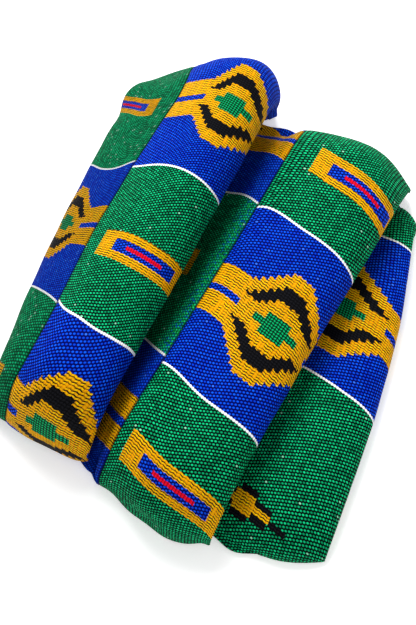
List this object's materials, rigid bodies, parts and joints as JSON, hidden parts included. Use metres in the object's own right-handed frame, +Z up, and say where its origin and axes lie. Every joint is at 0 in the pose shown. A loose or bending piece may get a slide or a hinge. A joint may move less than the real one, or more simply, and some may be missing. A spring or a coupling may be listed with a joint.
{
  "type": "folded kente cloth",
  "caption": "Woven strip cloth folded back and forth into soft rolls, with a checkerboard of blocks and geometric weft motifs.",
  "frame": {"origin": "middle of the bounding box in X and Y, on the surface the cloth rests on", "axes": "+Z up; the rolls run along Y, their near ends in the picture towards -Y; the sheet is folded across X, from the tall left roll at -X to the thin lobe at +X"},
  "size_m": [0.2543, 0.302, 0.0686],
  "materials": {
    "strip_1": "woven, matt with a slight sheen",
    "strip_2": "woven, matt with a slight sheen",
    "strip_3": "woven, matt with a slight sheen",
    "strip_4": "woven, matt with a slight sheen",
    "strip_5": "woven, matt with a slight sheen",
    "strip_6": "woven, matt with a slight sheen",
    "strip_7": "woven, matt with a slight sheen",
    "strip_8": "woven, matt with a slight sheen"
  },
  "bodies": {
    "root": {"strip_1": "strip_1", "strip_2": "strip_2", "strip_3": "strip_3", "strip_4": "strip_4", "strip_5": "strip_5", "strip_6": "strip_6", "strip_7": "strip_7", "strip_8": "strip_8"}
  },
  "joints": []
}
